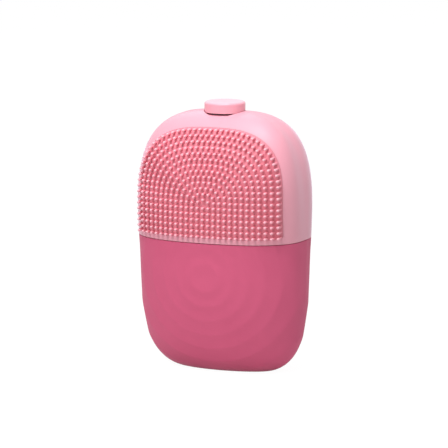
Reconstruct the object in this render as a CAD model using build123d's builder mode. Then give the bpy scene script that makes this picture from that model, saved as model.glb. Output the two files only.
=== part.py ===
from build123d import *
import math
import os

# Facial cleansing brush: a palm-sized sonic brush. A pale rigid dome carries an
# arch-shaped silicone bristle pad on its front and a round power key on its crown; the
# lower half is a rigid cup under a soft grip sleeve. Inside, one frame hangs from the
# dome and holds the motor, the battery, the main board and the charging socket.
# Millimetres. +Z is up, the bristles face -Y, the origin is the middle of the flat base.

os.makedirs("parts", exist_ok=True)

# ---------------------------------------------------------------- outer form
half_width = 35.0  # at the seam, along X
half_depth = 23.5  # at the seam, along Y
seam_height = 55.0  # from the base to the seam between cup and dome
dome_rise = 50.4  # from the seam to the crown
base_cut = 0.7  # how far the rounded bottom is cut back to make the flat base
seam_squareness = 2.5  # plan exponent at the seam: 2 is an ellipse, more is squarer
crown_squareness = 3.8
base_squareness = 1.8
dome_side_power = 3.3  # how the dome closes in, seen from the front
dome_face_power = 2.4  # and from the side
belly_side_power = 4.5  # how the cup closes in, seen from the front
belly_face_power = 2.45
dome_levels = (0.35, 0.64, 0.83, 0.94, 0.985, 0.9985)
belly_levels = (1.0, 0.96, 0.87, 0.7, 0.4)
outline_points = 20

# ---------------------------------------------------------------- walls and fits
dome_wall = 3.0
sleeve_wall = 1.5
cup_wall = 1.8
seat_gap = 0.05  # between pieces that are glued, clipped or stretched over each other
slide_gap = 0.05  # radial, round the key stem
seam_gap = 0.3  # open line between dome and sleeve
rim_height = 2.5  # thick band round the dome's mouth
tongue_drop = 4.0  # how far the dome's tongue reaches into the cup
tongue_wall = 1.2
gasket_wall = 0.6
gasket_height = 2.0
gasket_top_drop = 1.0

# ---------------------------------------------------------------- bristle pad
pad_wall = 1.5
bristle_pitch = 2.28
bristle_radius = 0.55
bristle_tip_radius = 0.3
bristle_tip_length = 0.35
bristle_reach_side = 3.0  # how far the tips stand off the dome, to the side
bristle_reach_front = 2.3  # to the front
bristle_reach_top = 2.4  # and upwards
bristle_root = 0.8  # how deep each bristle is rooted in the pad
first_row_height = 2.74  # above the seam
straight_rows = 6
arch_count = 13
arch_squareness = 2.95
arch_flatness = 0.975  # rise of the arches over half their width
pad_margin = 0.75  # pad beyond the outermost bristles
pad_corner = 1.6
stud_radius = 1.6
stud_length = 2.4
stud_head_radius = 2.3
stud_head = 1.5
stud_places = ((-16, 8), (16, 8), (-12, 30), (12, 30))  # X, and Z above the seam

# ---------------------------------------------------------------- power key
key_radius = 8.2
key_proud = 3.5  # above the crown
key_travel = 0.7
key_rest_gap = 0.15  # left under the skirt at full travel
key_edge = 0.9
key_roof = 1.4
key_wall = 1.4
key_side_gap = 0.3
pocket_depth = 1.5
stem_radius = 2.5
stem_foot_radius = 3.2
stem_foot = 1.0
guide_wall = 1.6
guide_drop = 4.5
seal_width = 0.8
seal_height = 1.2

# ---------------------------------------------------------------- switch
plunger_radius = 1.7
plunger_bore_gap = 0.1
plunger_height = 2.6
plunger_show = 1.1  # above the switch housing
switch_size = 6.2
switch_height = 3.5
switch_floor = 0.6
switch_board_length = 15.0
switch_board_front = 5.0  # ahead of the middle
switch_board_back = 7.2
switch_board_thick = 1.0

# ---------------------------------------------------------------- inner frame
frame_gap = 0.2
flange_thick = 2.0
flange_window_length = 34.0
flange_window_depth = 13.0
flange_window_y = -4.5
upright_thick = 2.0
upright_face = 3.0  # Y of the upright's front face
upright_foot_width = 40.0
upright_head_width = 22.0
shelf_thick = 1.6
frame_screw_x = 23.0
frame_screw_y = 8.5
post_radius = 2.6
post_height = 12.0
post_rib = 1.6
leg_x = 23.5
leg_radius = 3.0
leg_foot_height = 20.0  # Z where the frame's legs meet the cup's posts
cup_post_radius = 3.6
cup_screw_seat = 9.0  # Z where the heads of the cup screws bear
cup_screw_bite = 6.0
screw_radius = 1.0
screw_head_radius = 1.9
screw_head = 1.3
screw_bite = 6.0
screw_clear = 0.15
screw_slot = 0.5

# ---------------------------------------------------------------- motor
motor_height = 72.0
motor_y = -6.0
motor_radius = 7.5
motor_length = 20.0
can_wall = 0.6
magnet_thick = 1.6
magnet_split = 3.0  # gap between the two magnets
armature_slot = 1.2
press_gap = 0.01  # in pressed joints
armature_length = 11.0
air_gap = 0.35
shaft_radius = 0.75
shaft_stick_out = 8.0
bush_gap = 0.02
bush_radius = 2.2
cap_thick = 2.4
weight_radius = 6.0
weight_length = 6.0
weight_setback = 0.5  # from the weight to the end of the shaft
weight_hub = 1.9
boot_wall = 1.0
cradle_half_width = 8.0
cradle_half_height = 14.5
strap_wall = 1.2
strap_ear = 5.5
strap_half_width = 4.0
strap_screw_bite = 5.0

# ---------------------------------------------------------------- battery and boards
cell_width = 34.0
cell_height = 30.0
cell_thick = 9.0
cell_bottom = 15.0
cell_edge = 2.0
cell_front = -6.0  # Y of its front face
foam_thick = 1.0
tray_thick = 1.6
tray_lip = 1.6
tray_lip_gap = 0.3
clip_thick = 1.0
clip_height = 6.0
clip_hook = 3.0
board_width = 32.0
board_height = 34.0
board_thick = 1.2
board_bottom = 13.0
board_standoff = 1.4
board_corner = 2.0
board_screw_x = 12.5
board_screw_inset = 4.0
board_screw_bite = 2.7
standoff_radius = 2.0
header_x = (-6.0, 0.0, 6.0)
header_z = 44.0
header_length = 4.6
header_height = 5.0
header_thick = 3.0
control_chip_spot = (8.0, 36.5)
control_chip_size = (6.0, 6.0, 1.2)
charger_chip_spot = (-8.5, 30.0)
charger_chip_size = (4.0, 5.0, 1.0)
power_coil_spot = (-9.0, 22.5)
power_coil_size = (5.0, 5.0, 2.6)
capacitor_spots = ((9.0, 24.0), (9.0, 27.5), (9.0, 31.0), (-8.5, 36.0), (-4.5, 36.0))
capacitor_size = (2.4, 1.4, 1.3)
component_edge = 0.2
socket_height = 30.0
socket_width = 9.0
socket_block_depth = 7.0
socket_block_height = 6.5
socket_bore = 1.3
socket_bore_length = 9.0
socket_length = 11.65  # from the board to the end of the nose
socket_nose_radius = 2.6
socket_seal_wall = 0.8
socket_seal_length = 1.4
seal_setback = 0.1
socket_mouth_radius = 2.2
contact_radius = 1.8
contact_thick = 0.9
contact_chamber = 2.0  # the wider end of the bore, in which the contact sits
lead_radius = 0.6
lead_bend = 1.2
lead_loop = 3.0  # how far the motor leads swing out beside the motor
lead_exit = 4.0  # above the motor's axis
battery_lead_y = -1.5
lead_slot = 2.7
lead_window_width = 16.0

crown_height = seam_height + dome_rise
belly_reach = seam_height + base_cut


# ================================================================ shared forms
def plan_points(half_x, half_y, squareness):
    """Points round one level of the body, as a squared-off ellipse."""
    points = []
    for step in range(outline_points):
        turn = math.tau * step / outline_points
        cosine, sine = math.cos(turn), math.sin(turn)
        x = half_x * math.copysign(abs(cosine) ** (2 / squareness), cosine)
        y = half_y * math.copysign(abs(sine) ** (2 / squareness), sine)
        points.append((x, y))
    return points


def closing(share, power):
    """How wide the body still is, from 1 at the seam to 0 at its end."""
    return (1 - share**power) ** (1 / power)


def mix(low, high, share):
    return low + (high - low) * share


def body_form(inset):
    """The whole body as one solid, with every wall moved in by inset."""
    wide, deep = half_width - inset, half_depth - inset
    below, above = seam_height - inset, dome_rise - inset
    levels = []
    for level in belly_levels:
        share = level * below / (belly_reach - inset)
        half_x = wide * closing(share, belly_side_power)
        half_y = deep * closing(share, belly_face_power)
        shape = mix(seam_squareness, base_squareness, share)
        levels.append((seam_height - level * below, half_x, half_y, shape))
    levels.append((seam_height, wide, deep, seam_squareness))
    for level in dome_levels:
        half_x = wide * closing(level, dome_side_power)
        half_y = deep * closing(level, dome_face_power)
        shape = mix(seam_squareness, crown_squareness, level)
        levels.append((seam_height + level * above, half_x, half_y, shape))
    with BuildPart() as form:
        for height, half_x, half_y, shape in levels:
            with BuildSketch(Plane.XY.offset(height)):
                with BuildLine():
                    Spline(*plan_points(half_x, half_y, shape), periodic=True)
                make_face()
        loft()
    return form.part


def front_of_form(x, height, side, face, top):
    """Y of the dome's front at x and height above the seam, with its reach enlarged."""
    share = height / (dome_rise + top)
    half_x = (half_width + side) * closing(share, dome_side_power)
    half_y = (half_depth + face) * closing(share, dome_face_power)
    shape = mix(seam_squareness, crown_squareness, share)
    return -half_y * (1 - (abs(x) / half_x) ** shape) ** (1 / shape)


def slab(low, high):
    """A wide block between two heights, to keep only that slice of a form."""
    reach = half_width + 10
    corner = Plane(origin=(-reach, -reach, low))
    return Solid.make_box(2 * reach, 2 * reach, high - low, corner)


def rod(radius, start, length, direction):
    """A plain round bar from start along direction."""
    return Solid.make_cylinder(radius, length, Plane(origin=start, z_dir=direction))


outer_form = body_form(0)
bed_form = body_form(pad_wall + seat_gap)
pad_back_form = body_form(pad_wall)
cavity_form = body_form(dome_wall)
sleeve_inner_form = body_form(sleeve_wall)
cup_outer_form = body_form(sleeve_wall + seat_gap)
cup_inset = sleeve_wall + seat_gap + cup_wall
cup_inner_form = body_form(cup_inset)
tongue_inset = cup_inset + gasket_wall
tongue_outer_form = body_form(tongue_inset)
frame_inset = tongue_inset + tongue_wall
tongue_inner_form = body_form(frame_inset)
flange_form = body_form(frame_inset + frame_gap)

# ================================================================ pad outline
arch_outline_steps = 24
arch_walk_steps = 400
arch_centre = first_row_height + (straight_rows - 0.5) * bristle_pitch
arch_half = arch_count * bristle_pitch


def arch_points(half, steps):
    """X and height above the seam along one arch, as a squared-off half ellipse."""
    points = []
    for step in range(steps + 1):
        turn = math.pi * step / steps
        cosine, sine = math.cos(turn), math.sin(turn)
        x = half * math.copysign(abs(cosine) ** (2 / arch_squareness), cosine)
        rise = half * arch_flatness * abs(sine) ** (2 / arch_squareness)
        points.append((x, arch_centre + rise))
    return points


def pad_window(grow):
    """The arch-shaped outline of the pad on the XZ plane, as a prism over the front."""
    half = arch_half + pad_margin + grow
    bottom = seam_height + first_row_height - pad_margin - grow
    crown = [(x, seam_height + height) for x, height in arch_points(half, arch_outline_steps)]
    with BuildPart() as prism:
        with BuildSketch(Plane.XZ):
            with BuildLine():
                Spline(*crown, tangents=((0, 1), (0, -1)))
                Polyline(crown[-1], (-half, bottom), (half, bottom), crown[0])
            make_face()
            corners = vertices().group_by(Axis.Y)[0]
            fillet(corners, pad_corner)
        extrude(amount=half_depth + 10)
    return prism.part


def bristle_places():
    """X and height above the seam of every bristle: a square grid below, arches above."""
    places = []
    for row in range(straight_rows):
        for column in range(-arch_count, arch_count + 1):
            places.append((column * bristle_pitch, first_row_height + row * bristle_pitch))
    for arch in range(1, arch_count + 1):
        curve = arch_points(arch * bristle_pitch, arch_walk_steps)
        travelled = [0.0]
        for here, there in zip(curve, curve[1:]):
            travelled.append(travelled[-1] + math.dist(here, there))
        lead_in = bristle_pitch / 2  # the arch springs half a pitch above the last row
        count = round((travelled[-1] + 2 * lead_in) / bristle_pitch)
        spacing = (travelled[-1] + 2 * lead_in) / count
        for number in range(1, count):
            want = number * spacing - lead_in
            index = next(i for i, run in enumerate(travelled) if run >= want)
            (x1, y1), (x2, y2) = curve[index - 1], curve[index]
            share = (want - travelled[index - 1]) / (travelled[index] - travelled[index - 1])
            places.append((mix(x1, x2, share), mix(y1, y2, share)))
    return places


# ================================================================ dome shell
# Rigid pale shell: the upper half of the body, with a shallow bed for the pad, a round
# pocket for the key, a guide for its stem and four screw posts for the inner frame.
upwards = (Align.CENTER, Align.CENTER, Align.MIN)
pocket_floor = crown_height - pocket_depth
guide_bottom = pocket_floor - guide_drop
guide_bore = stem_radius + slide_gap
seal_seat_radius = guide_bore + seal_width
guide_radius = seal_seat_radius + guide_wall
tongue_bottom = seam_height - tongue_drop
rim_top = seam_height + rim_height
post_spots = [
    (side * frame_screw_x, face * frame_screw_y) for side in (-1, 1) for face in (-1, 1)
]
rib_reach = half_width - frame_screw_x
rib_align = {1: (Align.MIN, Align.CENTER, Align.MIN), -1: (Align.MAX, Align.CENTER, Align.MIN)}
post_ribs = [
    (Pos(x, y, seam_height) * Box(rib_reach, post_rib, post_height, align=rib_align[side]))
    & outer_form
    for x, y in post_spots
    for side in (round(math.copysign(1, x)),)
]
stud_holes = [
    rod(stud_radius + seat_gap, (x, 0, seam_height + height), half_depth, (0, -1, 0)) & bed_form
    for x, height in stud_places
]
pad_bed = (outer_form - bed_form) & pad_window(seat_gap)
with BuildPart() as dome_shell:
    add(outer_form & slab(seam_height, crown_height + 1))
    add(cavity_form & slab(rim_top, crown_height), mode=Mode.SUBTRACT)
    add(tongue_outer_form & slab(tongue_bottom, seam_height))
    add(tongue_inner_form & slab(tongue_bottom, rim_top), mode=Mode.SUBTRACT)
    add(post_ribs)
    with Locations(*[(x, y, seam_height) for x, y in post_spots]):
        Cylinder(post_radius, post_height, align=upwards)
        Cylinder(screw_radius + seat_gap, screw_bite + 1, align=upwards, mode=Mode.SUBTRACT)
    with Locations((0, 0, guide_bottom)):
        Cylinder(guide_radius, guide_drop, align=upwards)
        Cylinder(guide_bore, guide_drop, align=upwards, mode=Mode.SUBTRACT)
    with Locations((0, 0, pocket_floor)):
        Cylinder(
            key_radius + key_side_gap, pocket_depth + 1, align=upwards, mode=Mode.SUBTRACT
        )
        Cylinder(
            seal_seat_radius,
            seal_height,
            align=(Align.CENTER, Align.CENTER, Align.MAX),
            mode=Mode.SUBTRACT,
        )
    add(pad_bed, mode=Mode.SUBTRACT)
    add(stud_holes, mode=Mode.SUBTRACT)
dome_shell.part.label = "dome_shell"
export_step(dome_shell.part, "parts/dome_shell.step")

# ================================================================ cup and sleeve
# Rigid cup that closes the body from below, with two screw posts on its floor.
cup_top = seam_height - seam_gap
leg_spots = [(side * leg_x, 0) for side in (-1, 1)]
socket_axis = (0, 0, socket_height)
nose_hole = rod(
    socket_nose_radius + socket_seal_wall + seat_gap, socket_axis, half_depth, (0, 1, 0)
)
cup_posts = [
    rod(cup_post_radius, (x, y, 0), leg_foot_height - seat_gap, (0, 0, 1)) & cup_outer_form
    for x, y in leg_spots
]
with BuildPart() as grip_cup:
    add(cup_outer_form & slab(0, cup_top))
    add(cup_inner_form & slab(0, seam_height), mode=Mode.SUBTRACT)
    add(cup_posts)
    add(nose_hole, mode=Mode.SUBTRACT)
    with Locations(*[(x, y, 0) for x, y in leg_spots]):
        Cylinder(
            screw_radius + screw_clear, leg_foot_height, align=upwards, mode=Mode.SUBTRACT
        )
        Cylinder(
            screw_head_radius + screw_clear, cup_screw_seat, align=upwards, mode=Mode.SUBTRACT
        )
grip_cup.part.label = "grip_cup"
export_step(grip_cup.part, "parts/grip_cup.step")

# Soft silicone sleeve stretched over the cup: the part that the hand holds, and the flat
# base that the brush stands on. A round hole at the back leads to the charging socket.
socket_mouth = rod(socket_mouth_radius, socket_axis, half_depth + 1, (0, 1, 0))
with BuildPart() as grip_sleeve:
    add(outer_form & slab(-1, cup_top))
    add(sleeve_inner_form & slab(0, seam_height), mode=Mode.SUBTRACT)
    add(socket_mouth, mode=Mode.SUBTRACT)
grip_sleeve.part.label = "grip_sleeve"
export_step(grip_sleeve.part, "parts/grip_sleeve.step")

# Rubber band squeezed between the dome's tongue and the cup, against water.
gasket_top = seam_height - gasket_top_drop
gasket_outer_form = body_form(cup_inset + seat_gap)
gasket_inner_form = body_form(tongue_inset - seat_gap)
with BuildPart() as seam_gasket:
    add(gasket_outer_form & slab(gasket_top - gasket_height, gasket_top))
    add(gasket_inner_form, mode=Mode.SUBTRACT)
seam_gasket.part.label = "seam_gasket"
export_step(seam_gasket.part, "parts/seam_gasket.step")

# ================================================================ bristle pad
# One soft silicone moulding: the arch-shaped skin in the dome's bed, four studs pulled
# through the dome from outside, and the round-tipped bristles, which all point to -Y.
pad_skin = (outer_form - pad_back_form) & pad_window(0)
pad_studs = []
for x, height in stud_places:
    stud_start = front_of_form(x, height, -pad_wall / 2, -pad_wall / 2, -pad_wall / 2)
    stud_end = front_of_form(x, height, -dome_wall, -dome_wall, -dome_wall) + stud_length
    place = (x, stud_start, seam_height + height)
    pad_studs.append(rod(stud_radius, place, stud_end - stud_start, (0, 1, 0)))
    head_place = (x, stud_end - stud_head, seam_height + height)
    pad_studs.append(rod(stud_head_radius, head_place, stud_head, (0, 1, 0)))
bristles = []
for x, height in bristle_places():
    root = front_of_form(x, height, -bristle_root, -bristle_root, -bristle_root)
    tip = front_of_form(x, height, bristle_reach_side, bristle_reach_front, bristle_reach_top)
    shaft_length = root - tip - bristle_tip_length
    neck = Plane(origin=(x, root - shaft_length, seam_height + height), z_dir=(0, -1, 0))
    shaft = rod(bristle_radius, (x, root, seam_height + height), shaft_length, (0, -1, 0))
    end = Solid.make_cone(bristle_radius, bristle_tip_radius, bristle_tip_length, neck)
    bristles.append(shaft + end)
with BuildPart() as bristle_pad:
    add(pad_skin)
    add(pad_studs)
    add(bristles)
bristle_pad.part.label = "bristle_pad"
export_step(bristle_pad.part, "parts/bristle_pad.step")

# ================================================================ power key
# Round cap over the crown. Its stem runs in the dome's guide, is held by its foot, and
# presses the plunger of the switch below.
key_top = crown_height + key_proud
skirt_bottom = pocket_floor + key_travel + key_rest_gap
stem_bottom = guide_bottom - seat_gap - stem_foot
key_ceiling = key_top - key_roof
with BuildPart() as power_key:
    with BuildSketch(Plane.XY.offset(skirt_bottom)):
        Circle(key_radius)
    extrude(amount=key_top - skirt_bottom)
    fillet(power_key.edges().group_by(Axis.Z)[-1], key_edge)
    with BuildSketch(Plane.XY.offset(skirt_bottom)):
        Circle(key_radius - key_wall)
    extrude(amount=key_ceiling - skirt_bottom, mode=Mode.SUBTRACT)
power_key.part.label = "power_key"
export_step(power_key.part, "parts/power_key.step")

with BuildPart() as key_stem:
    with BuildSketch(Plane.XY.offset(stem_bottom)):
        Circle(stem_foot_radius)
    extrude(amount=stem_foot)
    with BuildSketch(Plane.XY.offset(stem_bottom)):
        Circle(stem_radius)
    extrude(amount=key_ceiling - stem_bottom)
key_stem.part.label = "key_stem"
export_step(key_stem.part, "parts/key_stem.step")

# Silicone ring at the mouth of the guide, against water.
with BuildPart() as key_seal:
    with BuildSketch(Plane.XY.offset(pocket_floor - seal_height)):
        Circle(seal_seat_radius - seat_gap)
        Circle(guide_bore, mode=Mode.SUBTRACT)
    extrude(amount=seal_height)
key_seal.part.label = "key_seal"
export_step(key_seal.part, "parts/key_seal.step")

# ================================================================ switch
housing_top = stem_bottom - plunger_show
housing_bottom = housing_top - switch_height
with BuildPart() as switch_plunger:
    with BuildSketch(Plane.XY.offset(stem_bottom - plunger_height)):
        Circle(plunger_radius)
    extrude(amount=plunger_height)
switch_plunger.part.label = "switch_plunger"
export_step(switch_plunger.part, "parts/switch_plunger.step")

with BuildPart() as switch_housing:
    with BuildSketch(Plane.XY.offset(housing_bottom)):
        Rectangle(switch_size, switch_size)
    extrude(amount=switch_height)
    chamfer(switch_housing.edges().filter_by(Axis.Z), switch_floor)
    with BuildSketch(Plane.XY.offset(housing_bottom + switch_floor)):
        Circle(plunger_radius + plunger_bore_gap)
    extrude(amount=switch_height, mode=Mode.SUBTRACT)
switch_housing.part.label = "switch_housing"
export_step(switch_housing.part, "parts/switch_housing.step")

shelf_top = housing_bottom - switch_board_thick
with BuildPart() as switch_board:
    with BuildSketch(Plane.XY.offset(shelf_top)):
        with Locations((0, (switch_board_back - switch_board_front) / 2)):
            RectangleRounded(
                switch_board_length, switch_board_front + switch_board_back, board_corner
            )
    extrude(amount=switch_board_thick)
switch_board.part.label = "switch_board"
export_step(switch_board.part, "parts/switch_board.step")

# ================================================================ inner frame
# One moulding: a flange under the dome's posts, an upright with the motor cradle and the
# switch shelf above it, a battery tray and two screw legs below it.
shelf_bottom = shelf_top - shelf_thick
flange_bottom = seam_height - flange_thick
upright_back = upright_face + upright_thick
boot_radius = motor_radius + boot_wall
cell_back = cell_front + cell_thick
tray_face = cell_back + foam_thick
tray_back = tray_face + tray_thick
lip_inside = cell_width / 2 + tray_lip_gap
tray_half = lip_inside + tray_lip
tray_bottom = cell_bottom - tray_lip - tray_lip_gap
board_face = tray_back + board_standoff
board_back = board_face + board_thick
board_top = board_bottom + board_height
board_screw_z = (board_bottom + board_screw_inset, board_top - board_screw_inset)
board_screw_spots = [(side * board_screw_x, z) for side in (-1, 1) for z in board_screw_z]
strap_screw_offset = boot_radius + strap_wall + screw_head_radius + screw_clear
strap_screw_z = [motor_height + side * strap_screw_offset for side in (-1, 1)]
strap_screw_planes = [Plane(origin=(0, motor_y, z), z_dir=(0, 1, 0)) for z in strap_screw_z]
lead_window_bottom = board_top + board_standoff / 2
lip_middle_y = (cell_front + tray_face) / 2
with BuildPart() as inner_frame:
    add(flange_form & slab(flange_bottom, seam_height))
    with BuildSketch(Plane.XY.offset(flange_bottom)):
        with Locations((0, flange_window_y)):
            RectangleRounded(flange_window_length, flange_window_depth, board_corner)
        with Locations((0, upright_back + lead_slot / 2)):
            Rectangle(2 * lead_slot, lead_slot)
    extrude(amount=flange_thick, mode=Mode.SUBTRACT)
    # upright, narrowing towards the shelf
    with BuildSketch(Plane.XZ.offset(-upright_face)):
        with BuildLine():
            Polyline(
                (-upright_foot_width / 2, flange_bottom),
                (upright_foot_width / 2, flange_bottom),
                (upright_head_width / 2, shelf_top),
                (-upright_head_width / 2, shelf_top),
                close=True,
            )
        make_face()
    extrude(amount=-upright_thick)
    with Locations((0, (upright_back - switch_board_front) / 2, shelf_bottom)):
        Box(
            switch_board_length, upright_back + switch_board_front, shelf_thick, align=upwards
        )
    # motor cradle
    with Locations((0, (motor_y + upright_back) / 2, motor_height)):
        Box(2 * cradle_half_width, upright_back - motor_y, 2 * cradle_half_height)
    with Locations(Plane(origin=(0, motor_y, motor_height), z_dir=(1, 0, 0))):
        Cylinder(boot_radius + seat_gap, 3 * cradle_half_width, mode=Mode.SUBTRACT)
    with Locations(*strap_screw_planes):
        Cylinder(screw_radius + seat_gap, 2 * strap_screw_bite, mode=Mode.SUBTRACT)
    # battery tray with side and bottom lips and a window for the leads
    with Locations((0, tray_face + tray_thick / 2, tray_bottom)):
        Box(2 * tray_half, tray_thick, flange_bottom - tray_bottom, align=upwards)
    with Locations((0, lip_middle_y, tray_bottom)):
        Box(2 * tray_half, tray_face - cell_front, tray_lip, align=upwards)
    with Locations(*[(side * (lip_inside + tray_lip / 2), lip_middle_y, tray_bottom) for side in (-1, 1)]):
        Box(tray_lip, tray_face - cell_front, cell_height, align=upwards)
    with Locations((0, tray_face + tray_thick / 2, lead_window_bottom)):
        Box(
            lead_window_width,
            2 * tray_thick,
            flange_bottom - lead_window_bottom,
            align=upwards,
            mode=Mode.SUBTRACT,
        )
    # standoffs for the main board
    with Locations(*[Plane(origin=(x, tray_back, z), z_dir=(0, 1, 0)) for x, z in board_screw_spots]):
        Cylinder(standoff_radius, board_standoff, align=upwards)
        Cylinder(screw_radius + seat_gap, 4 * tray_thick, mode=Mode.SUBTRACT)
    # legs down to the cup's posts, and the holes for the dome screws
    with Locations(*[(x, y, leg_foot_height) for x, y in leg_spots]):
        Cylinder(leg_radius, flange_bottom - leg_foot_height, align=upwards)
        Cylinder(screw_radius + seat_gap, cup_screw_bite + 1, align=upwards, mode=Mode.SUBTRACT)
    with Locations(*[(x, y, flange_bottom) for x, y in post_spots]):
        Cylinder(screw_radius + screw_clear, flange_thick, align=upwards, mode=Mode.SUBTRACT)
inner_frame.part.label = "inner_frame"
export_step(inner_frame.part, "parts/inner_frame.step")


# ================================================================ screws
def screw(shank, seat, direction):
    """One pan-head screw: its head bears on seat and its shank runs on along direction."""
    plane = Plane(origin=seat, z_dir=direction)
    with BuildPart() as piece:
        with BuildSketch(plane):
            Circle(screw_head_radius)
        extrude(amount=-screw_head)
        fillet(piece.faces().sort_by(Axis(seat, direction))[0].edges(), screw_head / 3)
        with BuildSketch(plane):
            Circle(screw_radius)
        extrude(amount=shank)
        with BuildSketch(plane.offset(-screw_head)):
            Rectangle(screw_head_radius, screw_slot)
            Rectangle(screw_slot, screw_head_radius)
        extrude(amount=screw_head / 2, mode=Mode.SUBTRACT)
    return piece.part


frame_shank = flange_thick + screw_bite
frame_screw_set = [screw(frame_shank, (x, y, flange_bottom), (0, 0, 1)) for x, y in post_spots]
with BuildPart() as frame_screws:
    add(frame_screw_set)
frame_screws.part.label = "frame_screws"
export_step(frame_screws.part, "parts/frame_screws.step")

cup_shank = leg_foot_height - cup_screw_seat + cup_screw_bite
cup_screw_set = [screw(cup_shank, (x, y, cup_screw_seat), (0, 0, 1)) for x, y in leg_spots]
with BuildPart() as cup_screws:
    add(cup_screw_set)
cup_screws.part.label = "cup_screws"
export_step(cup_screws.part, "parts/cup_screws.step")

board_shank = board_thick + board_screw_bite
board_screw_set = [
    screw(board_shank, (x, board_back, z), (0, -1, 0)) for x, z in board_screw_spots
]
with BuildPart() as board_screws:
    add(board_screw_set)
board_screws.part.label = "board_screws"
export_step(board_screws.part, "parts/board_screws.step")

strap_face = motor_y - strap_wall
strap_shank = strap_wall + strap_screw_bite
strap_screw_set = [screw(strap_shank, (0, strap_face, z), (0, 1, 0)) for z in strap_screw_z]
with BuildPart() as strap_screws:
    add(strap_screw_set)
strap_screws.part.label = "strap_screws"
export_step(strap_screws.part, "parts/strap_screws.step")

# ================================================================ motor
# Brushed vibration motor: can, magnets, end cap and bush stand still; the shaft carries
# the armature and the eccentric weight. The shaft lies along X.
motor_plane = Plane(origin=(0, motor_y, motor_height), z_dir=(1, 0, 0), x_dir=(0, 1, 0))
motor_half = motor_length / 2
can_inside = motor_radius - can_wall
magnet_outside = can_inside - seat_gap
magnet_inside = magnet_outside - magnet_thick
bore_radius = shaft_radius + bush_gap
with BuildPart() as motor_can:
    with BuildSketch(motor_plane.offset(-motor_half)):
        Circle(motor_radius)
    extrude(amount=motor_length)
    with BuildSketch(motor_plane.offset(-motor_half)):
        Circle(can_inside)
    extrude(amount=motor_length - can_wall, mode=Mode.SUBTRACT)
    with BuildSketch(motor_plane.offset(motor_half - can_wall)):
        Circle(bush_radius + seat_gap)
    extrude(amount=can_wall, mode=Mode.SUBTRACT)
motor_can.part.label = "motor_can"
export_step(motor_can.part, "parts/motor_can.step")

with BuildPart() as motor_magnets:
    with BuildSketch(motor_plane.offset(-armature_length / 2)):
        Circle(magnet_outside)
        Circle(magnet_inside, mode=Mode.SUBTRACT)
        Rectangle(2 * motor_radius, magnet_split, mode=Mode.SUBTRACT)
    extrude(amount=armature_length)
motor_magnets.part.label = "motor_magnets"
export_step(motor_magnets.part, "parts/motor_magnets.step")

with BuildPart() as motor_end_cap:
    with BuildSketch(motor_plane.offset(-motor_half)):
        Circle(can_inside - seat_gap)
        Circle(bore_radius, mode=Mode.SUBTRACT)
    extrude(amount=cap_thick)
motor_end_cap.part.label = "motor_end_cap"
export_step(motor_end_cap.part, "parts/motor_end_cap.step")

with BuildPart() as motor_bush:
    with BuildSketch(motor_plane.offset(motor_half - cap_thick / 2)):
        Circle(bush_radius)
        Circle(bore_radius, mode=Mode.SUBTRACT)
    extrude(amount=cap_thick / 2 + can_wall)
motor_bush.part.label = "motor_bush"
export_step(motor_bush.part, "parts/motor_bush.step")

shaft_start = -motor_half + can_wall
shaft_end = motor_half + shaft_stick_out
with BuildPart() as motor_shaft:
    with BuildSketch(motor_plane.offset(shaft_start)):
        Circle(shaft_radius)
    extrude(amount=shaft_end - shaft_start)
motor_shaft.part.label = "motor_shaft"
export_step(motor_shaft.part, "parts/motor_shaft.step")

armature_radius = magnet_inside - air_gap
with BuildPart() as motor_armature:
    with BuildSketch(motor_plane.offset(-armature_length / 2)):
        Circle(armature_radius)
        with PolarLocations(armature_radius, 3):
            Rectangle(4 * armature_slot, armature_slot, mode=Mode.SUBTRACT)
        Circle(shaft_radius + press_gap, mode=Mode.SUBTRACT)
    extrude(amount=armature_length)
motor_armature.part.label = "motor_armature"
export_step(motor_armature.part, "parts/motor_armature.step")

# Half disc round a hub, so that the spinning shaft shakes the brush.
with BuildPart() as eccentric_weight:
    with BuildSketch(motor_plane.offset(shaft_end - weight_length - weight_setback)):
        Circle(weight_radius)
        with Locations((0, weight_radius)):
            Rectangle(2 * weight_radius, 2 * weight_radius, mode=Mode.SUBTRACT)
        Circle(weight_hub)
        Circle(shaft_radius + press_gap, mode=Mode.SUBTRACT)
    extrude(amount=weight_length)
eccentric_weight.part.label = "eccentric_weight"
export_step(eccentric_weight.part, "parts/eccentric_weight.step")

# Rubber boot round the can, so that the shake reaches the frame softly.
with BuildPart() as motor_boot:
    with BuildSketch(motor_plane.offset(-cradle_half_width)):
        Circle(boot_radius)
        Circle(motor_radius + press_gap, mode=Mode.SUBTRACT)
    extrude(amount=2 * cradle_half_width)
motor_boot.part.label = "motor_boot"
export_step(motor_boot.part, "parts/motor_boot.step")

# Strap that closes the cradle from the front, with an ear above and below.
strap_inside = boot_radius + seat_gap
ear_reach = boot_radius + strap_ear
with BuildPart() as motor_strap:
    with BuildSketch(motor_plane.offset(-strap_half_width)):
        Circle(strap_inside + strap_wall)
        with Locations((-strap_wall / 2, 0)):
            Rectangle(strap_wall, 2 * ear_reach)
        Circle(strap_inside, mode=Mode.SUBTRACT)
        with Locations((ear_reach - seat_gap, 0)):
            Rectangle(2 * ear_reach, 2 * ear_reach, mode=Mode.SUBTRACT)
    extrude(amount=2 * strap_half_width)
    with Locations(*strap_screw_planes):
        Cylinder(screw_radius + screw_clear, 4 * strap_wall, mode=Mode.SUBTRACT)
motor_strap.part.label = "motor_strap"
export_step(motor_strap.part, "parts/motor_strap.step")

# ================================================================ battery
# Flat lithium cell on a foam strip, held in the tray by a spring clip.
with BuildPart() as battery_cell:
    with Locations((0, (cell_front + cell_back) / 2, cell_bottom)):
        Box(cell_width, cell_thick, cell_height, align=upwards)
    fillet(battery_cell.edges().filter_by(Axis.Z), cell_edge)
battery_cell.part.label = "battery_cell"
export_step(battery_cell.part, "parts/battery_cell.step")

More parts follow.
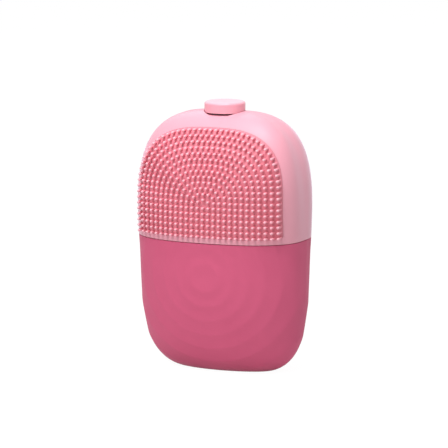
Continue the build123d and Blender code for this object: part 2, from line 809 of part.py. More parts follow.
with BuildPart() as battery_foam:
    with Locations((0, cell_back + foam_thick / 2, cell_bottom)):
        Box(cell_width - 2 * cell_edge, foam_thick, cell_height, align=upwards)
battery_foam.part.label = "battery_foam"
export_step(battery_foam.part, "parts/battery_foam.step")

clip_inside = tray_half + seat_gap
clip_front = cell_front - seat_gap
clip_back = tray_back + seat_gap
clip_middle_y = (clip_front + clip_back) / 2
clip_bottom = cell_bottom + (cell_height - clip_height) / 2
with BuildPart() as battery_clip:
    with BuildSketch(Plane.XY.offset(clip_bottom)):
        with Locations((0, clip_middle_y)):
            Rectangle(2 * (clip_inside + clip_thick), clip_back - clip_front + 2 * clip_thick)
            Rectangle(2 * clip_inside, clip_back - clip_front, mode=Mode.SUBTRACT)
        with Locations((0, clip_back)):
            Rectangle(2 * (clip_inside - clip_hook), 3 * clip_thick, mode=Mode.SUBTRACT)
    extrude(amount=clip_height)
battery_clip.part.label = "battery_clip"
export_step(battery_clip.part, "parts/battery_clip.step")

# ================================================================ main board
with BuildPart() as main_board:
    with BuildSketch(Plane.XZ.offset(-board_face)):
        with Locations((0, (board_bottom + board_top) / 2)):
            RectangleRounded(board_width, board_height, board_corner)
        with Locations(*board_screw_spots):
            Circle(screw_radius + screw_clear, mode=Mode.SUBTRACT)
    extrude(amount=-board_thick)
main_board.part.label = "main_board"
export_step(main_board.part, "parts/main_board.step")


# Components on the back of the board.
def on_board(spots, length, height, thick):
    """Flat blocks standing on the back of the board, one at each spot."""
    blocks = []
    for x, z in spots:
        block = Box(length, thick, height, align=(Align.CENTER, Align.MIN, Align.CENTER))
        blocks.append(Pos(x, board_back, z) * block)
    return blocks


control_chip_block = on_board([control_chip_spot], *control_chip_size)
with BuildPart() as control_chip:
    add(control_chip_block)
    chamfer(control_chip.faces().sort_by(Axis.Y)[-1].edges(), component_edge)
control_chip.part.label = "control_chip"
export_step(control_chip.part, "parts/control_chip.step")

charger_chip_block = on_board([charger_chip_spot], *charger_chip_size)
with BuildPart() as charger_chip:
    add(charger_chip_block)
    chamfer(charger_chip.faces().sort_by(Axis.Y)[-1].edges(), component_edge)
charger_chip.part.label = "charger_chip"
export_step(charger_chip.part, "parts/charger_chip.step")

power_coil_block = on_board([power_coil_spot], *power_coil_size)
with BuildPart() as power_coil:
    add(power_coil_block)
    chamfer(power_coil.edges().filter_by(Axis.Y), 3 * component_edge)
power_coil.part.label = "power_coil"
export_step(power_coil.part, "parts/power_coil.step")

capacitor_blocks = on_board(capacitor_spots, *capacitor_size)
with BuildPart() as board_capacitors:
    add(capacitor_blocks)
board_capacitors.part.label = "board_capacitors"
export_step(board_capacitors.part, "parts/board_capacitors.step")

header_spots = [(x, header_z) for x in header_x]
header_blocks = on_board(header_spots, header_length, header_height, header_thick)
with BuildPart() as lead_sockets:
    add(header_blocks)
    chamfer(lead_sockets.edges().filter_by(Axis.Z), component_edge)
lead_sockets.part.label = "lead_sockets"
export_step(lead_sockets.part, "parts/lead_sockets.step")

# ================================================================ charging socket
# Socket on the main board. Its nose passes the cup's wall with a seal round it; the
# charging plug slides into its bore until it meets the contact.
nose_end = board_back + socket_length
bore_bottom = nose_end - socket_bore_length
contact_plane = Plane(
    origin=(0, bore_bottom - contact_chamber, socket_height), z_dir=(0, 1, 0)
)
with BuildPart() as charge_socket:
    with Locations((0, board_back + socket_block_depth / 2, socket_height)):
        Box(socket_width, socket_block_depth, socket_block_height)
    with Locations(Plane(origin=(0, board_back, socket_height), z_dir=(0, 1, 0))):
        Cylinder(socket_nose_radius, socket_length, align=upwards)
    with Locations(contact_plane):
        Cylinder(socket_bore, socket_length, align=upwards, mode=Mode.SUBTRACT)
        Cylinder(contact_radius, contact_chamber, align=upwards, mode=Mode.SUBTRACT)
charge_socket.part.label = "charge_socket"
export_step(charge_socket.part, "parts/charge_socket.step")

with BuildPart() as socket_contact:
    with BuildSketch(contact_plane):
        Circle(contact_radius - press_gap)
    extrude(amount=contact_thick)
socket_contact.part.label = "socket_contact"
export_step(socket_contact.part, "parts/socket_contact.step")

seal_plane = Plane(origin=(0, nose_end - seal_setback, socket_height), z_dir=(0, 1, 0))
with BuildPart() as socket_seal:
    with BuildSketch(seal_plane):
        Circle(socket_nose_radius + socket_seal_wall)
        Circle(socket_nose_radius + press_gap, mode=Mode.SUBTRACT)
    extrude(amount=-socket_seal_length)
socket_seal.part.label = "socket_seal"
export_step(socket_seal.part, "parts/socket_seal.step")


# ================================================================ leads
def lead_pair(route):
    """Two thin insulated wires side by side; each stop of the route is a place and a spread."""
    pair = []
    for side in (-1, 1):
        reach = side * (lead_radius + seat_gap)
        stops = [Vector(*place) + Vector(*spread) * reach for place, spread in route]
        path = FilletPolyline(*stops, radius=lead_bend)
        start = Plane(origin=path @ 0, z_dir=path % 0)
        pair.append(sweep(start * Circle(lead_radius), path=path))
    return pair


header_top = header_z + header_height / 2
header_y = board_back + header_thick / 2
lead_level = (board_top + flange_bottom) / 2
loop_x = -motor_half - lead_loop
exit_z = motor_height + lead_exit
motor_lead_pair = lead_pair(
    [
        ((-motor_half, motor_y, exit_z), (0, 1, 0)),
        ((loop_x, motor_y, exit_z), (-1, 1, 0)),
        ((loop_x, motor_y, lead_level), (-1, 1, 0)),
        ((header_x[0], motor_y, lead_level), (-1, 1, 0)),
        ((header_x[0], header_y, lead_level), (-1, 0, 0)),
        ((header_x[0], header_y, header_top), (-1, 0, 0)),
    ]
)
with BuildPart() as motor_leads:
    add(motor_lead_pair)
motor_leads.part.label = "motor_leads"
export_step(motor_leads.part, "parts/motor_leads.step")

battery_lead_pair = lead_pair(
    [
        ((header_x[2], battery_lead_y, cell_bottom + cell_height), (1, 0, 0)),
        ((header_x[2], battery_lead_y, lead_level), (1, 0, 0)),
        ((header_x[2], header_y, lead_level), (1, 0, 0)),
        ((header_x[2], header_y, header_top), (1, 0, 0)),
    ]
)
with BuildPart() as battery_leads:
    add(battery_lead_pair)
battery_leads.part.label = "battery_leads"
export_step(battery_leads.part, "parts/battery_leads.step")

signal_lead_y = upright_back + lead_slot / 2
signal_lead_pair = lead_pair(
    [
        ((header_x[1], signal_lead_y, shelf_top), (1, 0, 0)),
        ((header_x[1], signal_lead_y, lead_level), (1, 0, 0)),
        ((header_x[1], header_y, lead_level), (1, 0, 0)),
        ((header_x[1], header_y, header_top), (1, 0, 0)),
    ]
)
with BuildPart() as signal_leads:
    add(signal_lead_pair)
signal_leads.part.label = "signal_leads"
export_step(signal_leads.part, "parts/signal_leads.step")
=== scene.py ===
import math

import bpy
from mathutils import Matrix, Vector


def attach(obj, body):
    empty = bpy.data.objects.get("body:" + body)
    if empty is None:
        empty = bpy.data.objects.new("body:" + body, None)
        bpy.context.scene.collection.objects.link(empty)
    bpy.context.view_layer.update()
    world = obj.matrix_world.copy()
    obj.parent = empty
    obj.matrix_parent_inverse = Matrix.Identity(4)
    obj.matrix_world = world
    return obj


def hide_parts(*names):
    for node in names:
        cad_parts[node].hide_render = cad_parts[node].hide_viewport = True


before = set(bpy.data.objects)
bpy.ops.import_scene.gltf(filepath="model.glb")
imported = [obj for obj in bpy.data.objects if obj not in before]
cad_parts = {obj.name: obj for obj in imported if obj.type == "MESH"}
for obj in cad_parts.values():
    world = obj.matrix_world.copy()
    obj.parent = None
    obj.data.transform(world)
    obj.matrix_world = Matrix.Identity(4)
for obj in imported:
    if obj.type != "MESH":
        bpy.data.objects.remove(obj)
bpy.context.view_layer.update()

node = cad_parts
bpy.ops.object.select_all(action="DESELECT")

# ---------------------------------------------------------------- inner frame
# The frame that carries everything inside is one injection moulding in natural white
# ABS, with the strap that closes its motor cradle. It hangs from four screws in the dome.


def linear(hex_colour):
    """An sRGB colour such as #f0c8d4 as the linear colour that a shader socket takes."""
    channels = [int(hex_colour[i : i + 2], 16) / 255 for i in (1, 3, 5)]
    values = [c / 12.92 if c <= 0.04045 else ((c + 0.055) / 1.055) ** 2.4 for c in channels]
    return (*values, 1.0)


def add_node(material, kind, settings=None, values=None, links=None):
    """Adds one node: its settings, its socket values, and links into its sockets."""
    made = material.node_tree.nodes.new(kind)
    for name, value in (settings or {}).items():
        setattr(made, name, value)
    for socket, value in (values or {}).items():
        made.inputs[socket].default_value = value
    for socket, source in (links or {}).items():
        material.node_tree.links.new(source, made.inputs[socket])
    return made


def grained(name, light, dark, roughness, grain, relief, metallic=0.0, stretch=(1, 1, 1), ior=1.5):
    """A finish with soft clouds between two colours, and a fine grain in millimetres."""
    cloud_size = 12
    roughness_spread = 0.05
    material = bpy.data.materials.new(name)
    material.use_nodes = True
    shader = material.node_tree.nodes["Principled BSDF"]
    shader.inputs["Metallic"].default_value = metallic
    shader.inputs["IOR"].default_value = ior
    place = add_node(material, "ShaderNodeTexCoord")
    drawn = add_node(
        material,
        "ShaderNodeMapping",
        values={"Scale": stretch},
        links={"Vector": place.outputs["Object"]},
    )
    cloud = add_node(
        material,
        "ShaderNodeTexNoise",
        values={"Scale": 1000 / cloud_size, "Detail": 2.0},
        links={"Vector": drawn.outputs["Vector"]},
    )
    tint = add_node(
        material,
        "ShaderNodeMix",
        settings={"data_type": "RGBA"},
        values={"A": linear(dark), "B": linear(light)},
        links={"Factor": cloud.outputs["Fac"]},
    )
    fine = add_node(
        material,
        "ShaderNodeTexNoise",
        values={"Scale": 1000 / grain, "Detail": 3.0, "Roughness": 0.6},
        links={"Vector": drawn.outputs["Vector"]},
    )
    polish = add_node(
        material,
        "ShaderNodeMapRange",
        values={
            "To Min": roughness - roughness_spread,
            "To Max": roughness + roughness_spread,
        },
        links={"Value": fine.outputs["Fac"]},
    )
    bump = add_node(
        material,
        "ShaderNodeBump",
        values={"Strength": 1.0, "Distance": relief / 1000},
        links={"Height": fine.outputs["Fac"]},
    )
    link = material.node_tree.links.new
    link(tint.outputs["Result"], shader.inputs["Base Color"])
    link(polish.outputs["Result"], shader.inputs["Roughness"])
    link(bump.outputs["Normal"], shader.inputs["Normal"])
    return material


def finish(material, *names):
    """Gives CAD nodes their finish, without touching their shape."""
    for name in names:
        node[name].data.materials.clear()
        node[name].data.materials.append(material)


white_abs = grained("moulded ABS, natural white", "#ece9e2", "#e2ded5", 0.42, 0.4, 0.004)
finish(white_abs, "inner_frame", "motor_strap")

# ---------------------------------------------------------------- screws
# Pan-head screws in zinc-plated steel, cut into the plastic: four hold the frame, two the
# cup, four the main board and two the motor strap.
zinc_steel = grained("zinc-plated steel", "#c9cbcd", "#b3b5b8", 0.32, 0.3, 0.002, metallic=1.0)
finish(zinc_steel, "frame_screws", "cup_screws", "board_screws", "strap_screws")

# ---------------------------------------------------------------- vibration motor
# A small brushed motor: a deep-drawn steel can with two ferrite magnets, a nylon end cap,
# a sintered bush, and a ground shaft with a slotted armature and a brass half-disc weight.
drawn_steel = grained(
    "deep-drawn steel", "#c4c5c6", "#a9abad", 0.30, 0.5, 0.002, metallic=1.0, stretch=(0.1, 1, 1)
)
finish(drawn_steel, "motor_can")
ground_steel = grained(
    "ground steel", "#d2d3d4", "#c0c1c3", 0.18, 0.2, 0.001, metallic=1.0, stretch=(4, 1, 1)
)
finish(ground_steel, "motor_shaft")
laminated_steel = grained(
    "laminated steel", "#8f8c88", "#6b6965", 0.45, 0.5, 0.01, metallic=1.0, stretch=(8, 0.2, 0.2)
)
finish(laminated_steel, "motor_armature")
ferrite = grained("sintered ferrite", "#3a3a3d", "#29292b", 0.6, 0.25, 0.006)
finish(ferrite, "motor_magnets", "power_coil")
nylon = grained("moulded nylon, cream", "#e9e4d6", "#ddd7c6", 0.5, 0.4, 0.004)
finish(nylon, "motor_end_cap", "lead_sockets")
bronze = grained("sintered bronze", "#b08a54", "#8d6c3f", 0.42, 0.2, 0.006, metallic=1.0)
finish(bronze, "motor_bush")
turned_brass = grained(
    "turned brass", "#d0b072", "#b8965a", 0.28, 0.3, 0.002, metallic=1.0, stretch=(3, 1, 1)
)
finish(turned_brass, "eccentric_weight", "socket_contact")
black_rubber = grained("moulded rubber, black", "#2c2c2d", "#202021", 0.7, 0.3, 0.006)
finish(black_rubber, "motor_boot")

# ---------------------------------------------------------------- battery
# A lithium cell in a laminated foil pouch, on a strip of closed-cell foam, held in the
# frame's tray by a clip bent from spring steel.
cell_foil = grained("laminated foil pouch", "#c6c9cd", "#b2b6bb", 0.34, 0.8, 0.012, metallic=1.0)
finish(cell_foil, "battery_cell")
foam = grained("closed-cell foam, grey", "#5b5c5f", "#48494c", 0.9, 0.5, 0.05)
finish(foam, "battery_foam")
spring_steel = grained("spring steel", "#cfd0d1", "#bcbdbf", 0.26, 0.4, 0.002, metallic=1.0)
finish(spring_steel, "battery_clip")

# ---------------------------------------------------------------- boards and switch
# Two glass-epoxy boards under green solder mask. The small one on the frame's shelf holds
# the push switch, and the main one at the back holds the chips, the coil and the sockets.
board_mask = grained("glass-epoxy board, green", "#1f6b45", "#185a39", 0.35, 0.6, 0.004)
finish(board_mask, "main_board", "switch_board")
chip_epoxy = grained("moulded epoxy, black", "#2a2a2c", "#1e1e20", 0.55, 0.2, 0.004)
finish(chip_epoxy, "control_chip", "charger_chip", "switch_housing", "charge_socket")
ceramic = grained("fired ceramic, tan", "#b79a78", "#a08362", 0.5, 0.2, 0.003)
finish(ceramic, "board_capacitors")
acetal = grained("acetal, white", "#eeeeec", "#e2e2df", 0.3, 0.3, 0.002)
finish(acetal, "key_stem")
grey_nylon = grained("moulded nylon, dark grey", "#3b3b3e", "#2f2f32", 0.45, 0.3, 0.003)
finish(grey_nylon, "switch_plunger")

# ---------------------------------------------------------------- leads
# Thin stranded wires in PVC, from the motor, the cell and the switch board to the three
# sockets on the main board.
red_pvc = grained("PVC wire, red", "#c0282c", "#a82226", 0.4, 0.5, 0.004)
finish(red_pvc, "motor_leads")
black_pvc = grained("PVC wire, black", "#262628", "#1b1b1c", 0.4, 0.5, 0.004)
finish(black_pvc, "battery_leads")
white_pvc = grained("PVC wire, white", "#e8e8e6", "#dcdcd9", 0.4, 0.5, 0.004)
finish(white_pvc, "signal_leads")

# ---------------------------------------------------------------- cup
# The rigid lower half under the sleeve: an ABS moulding in a dusty pink, screwed to the
# frame from below.
cup_abs = grained("moulded ABS, dusty pink", "#dda5b3", "#d59aa9", 0.45, 0.4, 0.004)
finish(cup_abs, "grip_cup")

# ---------------------------------------------------------------- seals
# Three rings moulded in a rose silicone that matches the sleeve: one in the seam between
# cup and dome, one round the key's stem and one round the charging socket.
seal_silicone = grained(
    "moulded silicone, dusky rose", "#c4667c", "#bb5e74", 0.6, 0.3, 0.004, ior=1.41
)
finish(seal_silicone, "seam_gasket", "key_seal", "socket_seal")

# ---------------------------------------------------------------- dome shell
# The rigid upper half: one pale pink ABS moulding from a lightly spark-eroded mould,
# which leaves a satin face. Its bed takes the pad, and its pocket the power key.
dome_abs = grained(
    "moulded ABS, pale pink, satin", "#f3a9b9", "#f0a4b5", 0.50, 0.3, 0.003, ior=1.53
)
# the sparked face scatters light that grazes it, so it turns paler where it curves away
satin = dome_abs.node_tree.nodes["Principled BSDF"]
satin.inputs["Sheen Weight"].default_value = 0.7
satin.inputs["Sheen Tint"].default_value = linear("#f6ecff")
satin.inputs["Sheen Roughness"].default_value = 0.35
finish(dome_abs, "dome_shell")

# ---------------------------------------------------------------- bristle pad
# One soft moulding in salmon silicone: a thin skin in the dome's bed, and hundreds of
# round-tipped bristles of about a millimetre across that all point straight forward.
# Below they stand in a square grid, and above in arches, one inside the other.
seam_z = 0.055
dome_rise = 0.0504
dome_half_width = 0.035
dome_half_depth = 0.0235
side_power = 3.3  # how square the dome's outline is, seen from the front
profile_power = 2.4  # the same, seen from the side
seam_squareness = 2.5  # how square its section is at the seam
crown_squareness = 3.8  # and at the crown
bristle_pitch = 0.00228
bristle_radius = 0.00055
bristle_sides = 12
bristle_root = 0.0008
bar_half = 0.5
tip_round = 0.0005
tip_segments = 3
tip_reach = (0.003, 0.0023, 0.0024)
first_row = 0.00274
straight_rows = 6
arch_count = 13
arch_power = 2.95
arch_flatness = 0.975
arch_springing = first_row + (straight_rows - 0.5) * bristle_pitch
pad_margin = 0.00075
pad_corner = 0.0016
skin_thick = 0.0013
skin_rings = 30
skin_steps = 96
skin_middle = 0.02  # the innermost arch, as a share of one ring, so that it has a length
bristle_arch_steps = 400
skin_arch_steps = 60
skin_side_limit = 0.0345
skin_height_limit = 0.0495


def dome_front(x, height, side=0.0, face=0.0, top=0.0):
    """Y of the dome's front at x and height above the seam, with its reach enlarged."""
    share = height / (dome_rise + top)
    half_x = (dome_half_width + side) * (1 - share**side_power) ** (1 / side_power)
    half_y = (dome_half_depth + face) * (1 - share**profile_power) ** (1 / profile_power)
    squareness = seam_squareness + (crown_squareness - seam_squareness) * share
    return -half_y * (1 - (abs(x) / half_x) ** squareness) ** (1 / squareness)


def arch_curve(half, steps):
    """X and height above the seam of points along one arch, as a squared-off half ellipse."""
    curve = []
    for step in range(steps + 1):
        turn = math.pi * step / steps
        cosine, sine = math.cos(turn), math.sin(turn)
        x = half * math.copysign(abs(cosine) ** (2 / arch_power), cosine)
        curve.append((x, arch_springing + half * arch_flatness * abs(sine) ** (2 / arch_power)))
    return curve


def run_length(curve):
    """The length of the straight runs between a curve's points."""
    return sum(math.dist(here, there) for here, there in zip(curve, curve[1:]))


def along(curve, count, first, spacing):
    """Points on a curve at even spacing, the first one some way past its start."""
    travelled = [0.0]
    for here, there in zip(curve, curve[1:]):
        travelled.append(travelled[-1] + math.dist(here, there))
    points = []
    for number in range(count):
        want = min(max(first + number * spacing, 0.0), travelled[-1])
        index = max(1, next(i for i, run in enumerate(travelled) if run >= want - 1e-9))
        share = (want - travelled[index - 1]) / (travelled[index] - travelled[index - 1])
        (x1, z1), (x2, z2) = curve[index - 1], curve[index]
        points.append((x1 + (x2 - x1) * share, z1 + (z2 - z1) * share))
    return points


bristle_spots = []
for row in range(straight_rows):
    for column in range(-arch_count, arch_count + 1):
        bristle_spots.append((column * bristle_pitch, first_row + row * bristle_pitch))
for arch in range(1, arch_count + 1):
    curve = arch_curve(arch * bristle_pitch, bristle_arch_steps)
    length = run_length(curve)
    count = round((length + bristle_pitch) / bristle_pitch)
    spacing = (length + bristle_pitch) / count
    bristle_spots += along(curve, count - 1, spacing - bristle_pitch / 2, spacing)

# one bristle: a bar of twelve sides with its front end rounded by a bevel
bpy.ops.mesh.primitive_cylinder_add(
    vertices=bristle_sides,
    radius=bristle_radius,
    depth=2 * bar_half,
    rotation=(math.pi / 2, 0, 0),
)
bristle = bpy.context.object
bpy.ops.object.transform_apply(location=True, rotation=True, scale=True)
bpy.ops.object.mode_set(mode="EDIT")
bpy.ops.mesh.select_mode(type="EDGE")
bpy.ops.mesh.select_all(action="DESELECT")
bpy.ops.object.mode_set(mode="OBJECT")
for edge in bristle.data.edges:
    edge.select = all(bristle.data.vertices[i].co.y < 0.01 - bar_half for i in edge.vertices)
bpy.ops.object.mode_set(mode="EDIT")
bpy.ops.mesh.bevel(offset=tip_round, segments=tip_segments, profile=0.5)
bpy.ops.object.mode_set(mode="OBJECT")

bristles = []
for x, height in bristle_spots:
    root = dome_front(x, height, -bristle_root, -bristle_root, -bristle_root)
    tip = dome_front(x, height, *tip_reach)
    copy = bristle.copy()
    copy.data = bristle.data.copy()
    bpy.context.collection.objects.link(copy)
    for vertex in copy.data.vertices:
        behind_tip = vertex.co.y + bar_half
        vertex.co.y = root if behind_tip > bar_half else tip + behind_tip
        vertex.co.x += x
        vertex.co.z += seam_z + height
    bristles.append(copy)
bpy.data.objects.remove(bristle)

# the skin: a grid laid along nested arches with straight legs, out to the pad's edge
bpy.ops.mesh.primitive_grid_add(x_subdivisions=skin_rings, y_subdivisions=skin_steps, size=1.0)
pad = bpy.context.object
pad.name = "silicone_bristle_pad"
skin_half = arch_count * bristle_pitch + pad_margin
for vertex in pad.data.vertices:
    ring = round((vertex.co.x + 0.5) * skin_rings)
    step = round((vertex.co.y + 0.5) * skin_steps)
    half = skin_half * max(ring, skin_middle) / skin_rings
    from_edge = skin_half - half
    foot = first_row - pad_margin
    if from_edge < pad_corner:
        foot += pad_corner - math.sqrt(pad_corner**2 - (pad_corner - from_edge) ** 2)
    legs = [(half, foot), *arch_curve(half, skin_arch_steps), (-half, foot)]
    length = run_length(legs)
    x, height = along(legs, 1, length * step / skin_steps, 1.0)[0]
    vertex.co = (x, dome_front(x, height), seam_z + height)
bpy.ops.object.mode_set(mode="EDIT")
bpy.ops.mesh.select_all(action="SELECT")
bpy.ops.mesh.remove_doubles(threshold=0.000001)
bpy.ops.mesh.normals_make_consistent(inside=False)
bpy.ops.object.mode_set(mode="OBJECT")
middle_face = min(pad.data.polygons, key=lambda face: face.center.y)
if middle_face.normal.y > 0:
    pad.data.flip_normals()
bed = pad.modifiers.new("bed", "SOLIDIFY")
bed.thickness = skin_thick
bed.offset = -1
bpy.ops.object.modifier_apply(modifier="bed")

bpy.ops.object.select_all(action="DESELECT")
for piece in bristles:
    piece.select_set(True)
pad.select_set(True)
bpy.context.view_layer.objects.active = pad
bpy.ops.object.join()
bpy.ops.object.shade_smooth_by_angle(angle=math.radians(45))

# how far each point stands off the skin, from 0 at the skin to 1 at the tips
reach = pad.data.attributes.new("reach", "FLOAT", "POINT")
for vertex in pad.data.vertices:
    x, y, z = vertex.co
    height = min(max(0.0, z - seam_z), skin_height_limit)
    skin_y = dome_front(max(-skin_side_limit, min(skin_side_limit, x)), height)
    standing = skin_y - y
    reach.data[vertex.index].value = max(0.0, min(1.0, standing / tip_reach[1]))

# Painted light: the thin tips are painted paler, a painted highlight where they catch the
# light, and the roots and the skin between them are painted deeper, a painted shade where
# the bristles shade each other. A ramp over the reach gives this colour here, in place of the
# clouds, and the grain stays.
shaded_root_pink = "#e78b9b"
shank_pink = "#f79dae"
lit_tip_pink = "#ffbcc9"
shank_reach = 0.6
pad_silicone = grained("moulded silicone, salmon", lit_tip_pink, shaded_root_pink, 0.5, 0.3, 0.003, ior=1.41)
shader = pad_silicone.node_tree.nodes["Principled BSDF"]
reach_read = add_node(pad_silicone, "ShaderNodeAttribute", settings={"attribute_name": "reach"})
# the ramp paints shade at the roots and the skin and a highlight at the tips
depth = add_node(pad_silicone, "ShaderNodeValToRGB", links={"Fac": reach_read.outputs["Fac"]})
depth.color_ramp.elements[0].color = linear(shaded_root_pink)
depth.color_ramp.elements[1].color = linear(lit_tip_pink)
middle_stop = depth.color_ramp.elements.new(shank_reach)
middle_stop.color = linear(shank_pink)
pad_silicone.node_tree.links.new(depth.outputs["Color"], shader.inputs["Base Color"])
pad.data.materials.clear()
pad.data.materials.append(pad_silicone)
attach(pad, "body")
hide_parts("bristle_pad")

# ---------------------------------------------------------------- grip sleeve
# A soft silicone sleeve in deep rose, compression moulded and stretched over the cup. Low
# rings round the middle of its front and back give the fingers a hold.
sleeve_top = 0.0547
sleeve_thick = 0.0013
ring_height = 0.041
ring_pitch = 0.006
ring_depth = 0.00022
ring_fade = 0.004
ball_segments = 256
ball_rings = 176
ball_drop = 0.005  # its middle lies this far under the sleeve's top
ball_reach = (0.044, 0.031, 0.062)
socket_hole_radius = 0.0022
socket_hole_length = 0.012
socket_hole_middle = (0, 0.0215, 0.030)

# a ball round the sleeve, cut level at the top and shrunk on to its outer face
bpy.ops.mesh.primitive_uv_sphere_add(
    segments=ball_segments,
    ring_count=ball_rings,
    radius=1.0,
    location=(0, 0, sleeve_top - ball_drop),
    scale=ball_reach,
)
sleeve = bpy.context.object
sleeve.name = "ringed_sleeve"
bpy.ops.object.transform_apply(location=True, rotation=True, scale=True)
bpy.ops.object.mode_set(mode="EDIT")
bpy.ops.mesh.select_all(action="SELECT")
bpy.ops.mesh.bisect(plane_co=(0, 0, sleeve_top), plane_no=(0, 0, 1), clear_outer=True)
bpy.ops.object.mode_set(mode="OBJECT")
wrap = sleeve.modifiers.new("wrap", "SHRINKWRAP")
wrap.target = node["grip_sleeve"]
wrap.wrap_method = "PROJECT"
wrap.use_negative_direction = True
wrap.use_positive_direction = False
bpy.ops.object.modifier_apply(modifier="wrap")
bpy.ops.object.mode_set(mode="EDIT")
bpy.ops.mesh.select_mode(type="VERT")
bpy.ops.mesh.select_all(action="DESELECT")
bpy.ops.mesh.select_non_manifold(extend=False)
bpy.ops.transform.resize(value=(1, 1, 0), center_override=(0, 0, sleeve_top))

# the back is made as the mirror image of the front, so that it has no hole in it yet
bpy.ops.mesh.select_all(action="SELECT")
bpy.ops.mesh.bisect(
    plane_co=(0, 0, 0), plane_no=(0, 1, 0), clear_outer=True, threshold=0.00001
)
bpy.ops.object.mode_set(mode="OBJECT")
back = sleeve.modifiers.new("back", "MIRROR")
back.use_axis = (False, True, False)
back.merge_threshold = 0.0001
bpy.ops.object.modifier_apply(modifier="back")
bpy.ops.object.mode_set(mode="EDIT")
bpy.ops.mesh.select_all(action="SELECT")
bpy.ops.mesh.remove_doubles(threshold=0.00005)
bpy.ops.mesh.normals_make_consistent(inside=False)
bpy.ops.object.mode_set(mode="OBJECT")

# the rings: between two of them the face is a little hollow, so each ring is a soft crease,
# and they fade out towards the seam and the base
outward = [vertex.normal.copy() for vertex in sleeve.data.vertices]
for vertex, normal in zip(sleeve.data.vertices, outward):
    rings_out = math.hypot(vertex.co.x, vertex.co.z - ring_height) / ring_pitch
    across = rings_out % 1 if rings_out > 1 else 0.5 + rings_out / 2
    room = min(sleeve_top - vertex.co.z, vertex.co.z)
    fade = max(0.0, min(1.0, room / ring_fade))
    vertex.co -= normal * ring_depth * fade * 4 * across * (1 - across)

wall = sleeve.modifiers.new("wall", "SOLIDIFY")
wall.thickness = sleeve_thick
wall.offset = -1
bpy.ops.object.modifier_apply(modifier="wall")

# the hole to the charging socket, at the back
bpy.ops.mesh.primitive_cylinder_add(
    vertices=48,
    radius=socket_hole_radius,
    depth=socket_hole_length,
    location=socket_hole_middle,
    rotation=(math.pi / 2, 0, 0),
)
socket_hole = bpy.context.object
bpy.context.view_layer.objects.active = sleeve
cut = sleeve.modifiers.new("socket hole", "BOOLEAN")
cut.operation = "DIFFERENCE"
cut.object = socket_hole
bpy.ops.object.modifier_apply(modifier="socket hole")
bpy.data.objects.remove(socket_hole)
sleeve.data.shade_smooth()
bpy.ops.object.select_all(action="DESELECT")
sleeve.select_set(True)
bpy.ops.object.shade_smooth_by_angle(angle=math.radians(40))

sleeve_silicone = grained(
    "moulded silicone, deep rose", "#e06287", "#da5d82", 0.6, 0.3, 0.003, ior=1.41
)
sleeve.data.materials.append(sleeve_silicone)
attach(sleeve, "body")
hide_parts("grip_sleeve")

# ---------------------------------------------------------------- power key
# A round cap in pink ABS on an acetal stem. Its top is polished a little brighter than
# the dome, and a narrow gap all round lets it sink when pressed.
key_abs = grained("moulded ABS, pink, satin", "#ffb3c2", "#ffafbf", 0.38, 0.3, 0.002, ior=1.53)
finish(key_abs, "power_key")

# ---------------------------------------------------------------- studio
# Not part of the brush: a sheet of studio paper as floor and backdrop, soft lamps, and the
# camera. The paper looks white, and only a faint shadow of the brush shows on it.
floor_width = 8.0
paper_white = 0.88
paper_glow = 1.1
room_light = 0.33
bpy.ops.mesh.primitive_plane_add(size=floor_width, location=(0, 0, 0))
floor = bpy.context.object
floor.name = "studio_floor"


def looks_white(owner, share):
    """How white a surface shows itself: share to the eye and in reflections, 0 to the rest."""
    path = add_node(owner, "ShaderNodeLightPath")
    mirrored = add_node(
        owner,
        "ShaderNodeMath",
        settings={"operation": "MAXIMUM"},
        links={0: path.outputs["Is Glossy Ray"], 1: path.outputs["Is Transmission Ray"]},
    )
    seen = add_node(
        owner,
        "ShaderNodeMath",
        settings={"operation": "MAXIMUM"},
        links={0: path.outputs["Is Camera Ray"], 1: mirrored.outputs["Value"]},
    )
    return add_node(
        owner,
        "ShaderNodeMath",
        settings={"operation": "MULTIPLY"},
        values={1: share},
        links={0: seen.outputs["Value"]},
    ).outputs["Value"]


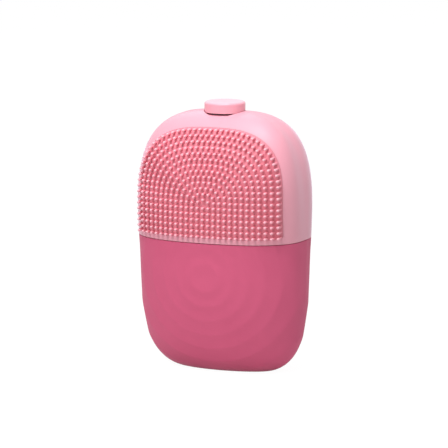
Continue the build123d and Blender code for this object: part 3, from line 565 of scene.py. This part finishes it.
paper = bpy.data.materials.new("studio paper, white")
paper.use_nodes = True
shader = paper.node_tree.nodes["Principled BSDF"]
shader.inputs["Base Color"].default_value = linear("#c8c8c8")
shader.inputs["Roughness"].default_value = 0.9
lit_paper = shader.outputs["BSDF"]
white_paper = add_node(
    paper, "ShaderNodeEmission", values={"Color": (1, 1, 1, 1), "Strength": paper_glow}
)
paper_mix = add_node(
    paper,
    "ShaderNodeMixShader",
    links={0: looks_white(paper, paper_white), 1: lit_paper, 2: white_paper.outputs["Emission"]},
)
paper_output = paper.node_tree.nodes["Material Output"]
paper.node_tree.links.new(paper_mix.outputs["Shader"], paper_output.inputs["Surface"])
floor.data.materials.append(paper)

world = bpy.data.worlds.new("studio world")
bpy.context.scene.world = world
world.use_nodes = True
soft_light = world.node_tree.nodes["Background"]
soft_light.inputs["Color"].default_value = (1, 1, 1, 1)
soft_light.inputs["Strength"].default_value = room_light
backdrop = add_node(world, "ShaderNodeBackground", values={"Color": (1, 1, 1, 1), "Strength": 1.0})
world_mix = add_node(
    world,
    "ShaderNodeMixShader",
    links={
        0: looks_white(world, 1.0),
        1: soft_light.outputs["Background"],
        2: backdrop.outputs["Background"],
    },
)
world_output = world.node_tree.nodes["World Output"]
world.node_tree.links.new(world_mix.outputs["Shader"], world_output.inputs["Surface"])


def soft_lamp(name, place, aim, size, power):
    """One square lamp at place, facing aim, and not seen itself."""
    bpy.ops.object.light_add(type="AREA", location=place)
    lamp = bpy.context.object
    lamp.name = name
    lamp.data.size = size
    lamp.data.energy = power
    lamp.rotation_euler = (Vector(aim) - Vector(place)).to_track_quat("-Z", "Y").to_euler()
    lamp.visible_camera = False


brush_middle = (0, 0, 0.055)
soft_lamp("key lamp, front left", (-0.12, -0.74, 0.80), brush_middle, 0.35, 5.6)
soft_lamp("top lamp, right", (0.08, -0.12, 0.60), brush_middle, 0.15, 1.8)
soft_lamp("back lamp", (-0.45, 0.70, 0.80), brush_middle, 0.5, 1.8)

camera_azimuth = math.radians(21.2)
camera_elevation = math.radians(9.77)
camera_distance = 1.207
camera_target = Vector((-0.0004, 0, 0.0590))
camera_lens = 241
camera_sensor = 36
camera_near = 0.01
away = Vector(
    (
        math.sin(camera_azimuth) * math.cos(camera_elevation),
        -math.cos(camera_azimuth) * math.cos(camera_elevation),
        math.sin(camera_elevation),
    )
)
bpy.ops.object.camera_add(location=camera_target + away * camera_distance)
camera = bpy.context.object
camera.rotation_euler = (-away).to_track_quat("-Z", "Y").to_euler()
camera.data.lens = camera_lens
camera.data.sensor_width = camera_sensor
camera.data.clip_start = camera_near
bpy.context.scene.camera = camera
bpy.context.scene.view_settings.view_transform = "Standard"
